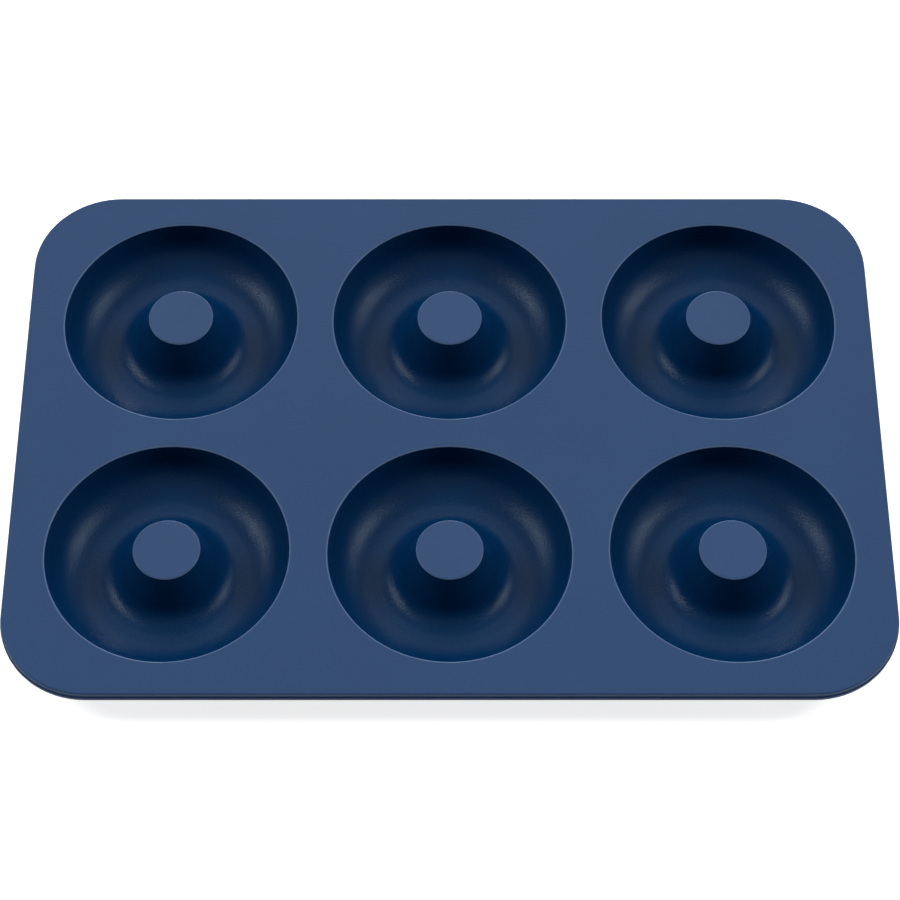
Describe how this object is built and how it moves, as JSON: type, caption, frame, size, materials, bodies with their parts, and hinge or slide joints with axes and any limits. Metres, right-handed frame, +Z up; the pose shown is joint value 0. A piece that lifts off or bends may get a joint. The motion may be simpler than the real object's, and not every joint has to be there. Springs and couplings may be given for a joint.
{
  "type": "doughnut pan",
  "caption": "Flexible baking mould: a flat plate with rounded corners carries ring-shaped cups, each round a raised centre pin.",
  "frame": {"origin": "under the middle of the plate, at the level of the foot rings that the pan stands on", "axes": "+X along the long side, +Y away from the viewer of the picture, +Z up, out of the cups' mouths"},
  "size_m": [0.2714, 0.1824, 0.018],
  "materials": {
    "silicone": "matte slate navy silicone, satin in the cups"
  },
  "bodies": {
    "root": {"doughnut_pan": "silicone"}
  },
  "joints": []
}
